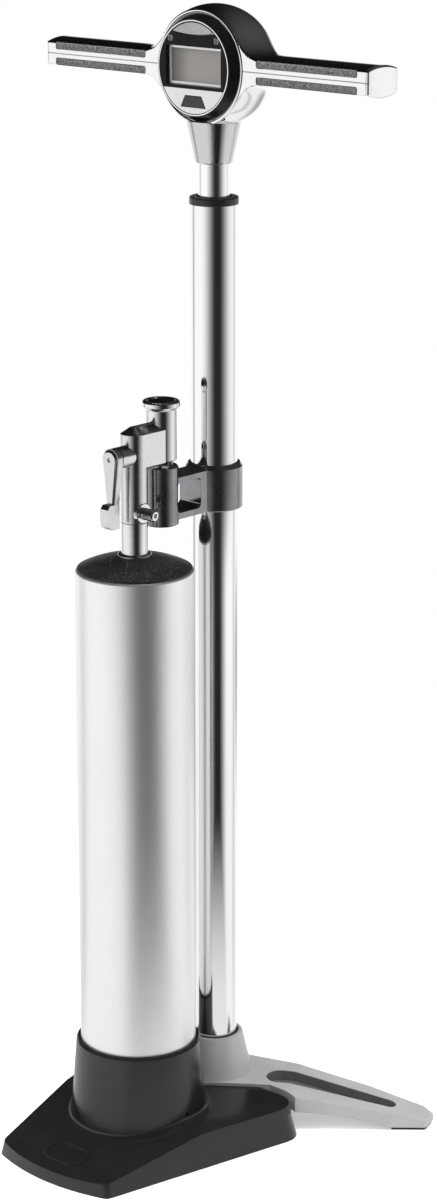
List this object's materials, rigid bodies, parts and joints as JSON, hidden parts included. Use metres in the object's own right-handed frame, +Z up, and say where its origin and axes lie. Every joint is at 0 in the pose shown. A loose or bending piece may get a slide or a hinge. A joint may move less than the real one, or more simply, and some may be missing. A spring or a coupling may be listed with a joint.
{
  "type": "floor_pump",
  "caption": "Floor pump with an air tank, a chrome barrel and a valve block with a lever, and a T-handle that carries a round digital gauge.",
  "frame": {"origin": "On the floor, in the middle of the base casting's round foot, under the barrel's axis.", "axes": "+Z up along the barrel; X along the handle; the air tank stands in front at -Y; the legs slope back to +Y; the handle is square to the tank as stored."},
  "size_m": [0.2742, 0.24, 0.7417],
  "materials": {
    "cast_base": "satin silver paint on cast metal",
    "pad_rubber": "matte black rubber",
    "black_plastic": "satin black moulded plastic",
    "barrel_chrome": "polished chrome plate",
    "tank_chrome": "fine satin, blasted and anodised",
    "handle_chrome": "polished plated casting",
    "rod_chrome": "polished chrome plate",
    "valve_chrome": "polished plated casting",
    "ring_chrome": "polished chrome plate",
    "screw_steel": "plain zinc-plated steel",
    "dark_screw": "blackened steel",
    "inner_plastic": "matte dark engineering plastic",
    "seal_rubber": "greased black rubber",
    "pale_plastic": "natural acetal plastic",
    "grip_rubber": "soft grey-black rubber with a fine grain",
    "face_black": "smooth black plastic",
    "segment_silver": "satin silver foil on plastic",
    "lcd_silver": "pale silver paint on plastic",
    "lcd_grey": "grey display behind a clear window",
    "button_grey": "fine matte grey plastic",
    "board_green": "green circuit board",
    "contact_rubber": "grey silicone rubber",
    "tank_steel": "plain sheet steel",
    "core_brass": "turned brass"
  },
  "bodies": {
    "stand": {"base_casting": "cast_base", "leg_pad_left": "pad_rubber", "leg_pad_right": "pad_rubber", "tank_foot": "black_plastic", "foot_screws": "screw_steel", "collar_screws": "dark_screw", "barrel_tube": "barrel_chrome", "foot_plug": "inner_plastic", "plug_seal": "seal_rubber", "check_spring": "screw_steel", "barrel_cap": "black_plastic", "rod_bush": "pale_plastic", "rod_wiper": "seal_rubber", "clamp_bracket": "black_plastic", "clamp_screws": "screw_steel", "tank_shell": "tank_chrome", "tank_bottom": "tank_steel", "tank_lid": "black_plastic", "lid_seal": "seal_rubber", "valve_stem": "valve_chrome", "stem_flange": "valve_chrome", "valve_body": "valve_chrome", "top_plug": "dark_screw", "hose_cup": "valve_chrome", "nipple_body": "valve_chrome"},
    "piston": {"piston_seal": "seal_rubber", "piston_guide": "pale_plastic"},
    "handle": {"pad_front_upper_right": "grip_rubber", "pad_front_upper_left": "grip_rubber", "pad_front_lower_right": "grip_rubber", "pad_front_lower_left": "grip_rubber", "pad_back_upper_right": "grip_rubber", "pad_back_upper_left": "grip_rubber", "pad_back_lower_right": "grip_rubber", "pad_back_lower_left": "grip_rubber", "piston_head": "inner_plastic", "piston_rod": "rod_chrome", "neck_cone": "handle_chrome", "shell_upper": "handle_chrome", "shell_lower": "handle_chrome", "shell_screws": "screw_steel", "gauge_ring": "ring_chrome", "gauge_housing": "black_plastic", "gauge_face": "face_black", "face_rim": "ring_chrome", "face_segment": "segment_silver", "lcd_frame": "lcd_silver", "lcd_panel": "lcd_grey", "face_screws": "ring_chrome", "circuit_board": "board_green", "button_contacts": "contact_rubber"},
    "lever": {"valve_spool": "screw_steel", "lever_plate": "valve_chrome", "lever_face": "valve_chrome", "lever_knob": "valve_chrome", "lever_screw": "screw_steel"},
    "power_button": {"power_button": "button_grey"},
    "mode_button": {"mode_button": "face_black"},
    "poppet": {"check_poppet": "inner_plastic"},
    "core_pin": {"core_pin": "core_brass"}
  },
  "joints": [
    {"name": "pump_stroke", "type": "slide", "parent": "stand", "child": "piston", "axis": [0, 0, 1], "range_m": [-0.0205, 0.5]},
    {"name": "handle_turn", "type": "hinge", "parent": "piston", "child": "handle", "pos_m": [0, 0, 0.6], "axis": [0, 0, 1], "continuous": true},
    {"name": "valve_lever", "type": "hinge", "parent": "stand", "child": "lever", "pos_m": [0, -0.0745, 0.4675], "axis": [0, 1, 0], "range_deg": [0, 90]},
    {"name": "power_press", "type": "slide", "parent": "handle", "child": "power_button", "axis": [0, 1, 0], "range_m": [0, 0.0008], "stiffness_N_per_m": 600, "springref_m": -0.0006},
    {"name": "mode_press", "type": "slide", "parent": "handle", "child": "mode_button", "axis": [0, 1, 0], "range_m": [0, 0.0008], "stiffness_N_per_m": 600, "springref_m": -0.0006},
    {"name": "check_valve_lift", "type": "slide", "parent": "stand", "child": "poppet", "axis": [0, 0, -1], "range_m": [0, 0.0015], "stiffness_N_per_m": 300, "springref_m": -0.001, "deforming": ["check_spring"]},
    {"name": "core_pin_press", "type": "slide", "parent": "stand", "child": "core_pin", "axis": [-1, 0, 0], "range_m": [0, 0.0015], "stiffness_N_per_m": 400, "springref_m": -0.001}
  ]
}
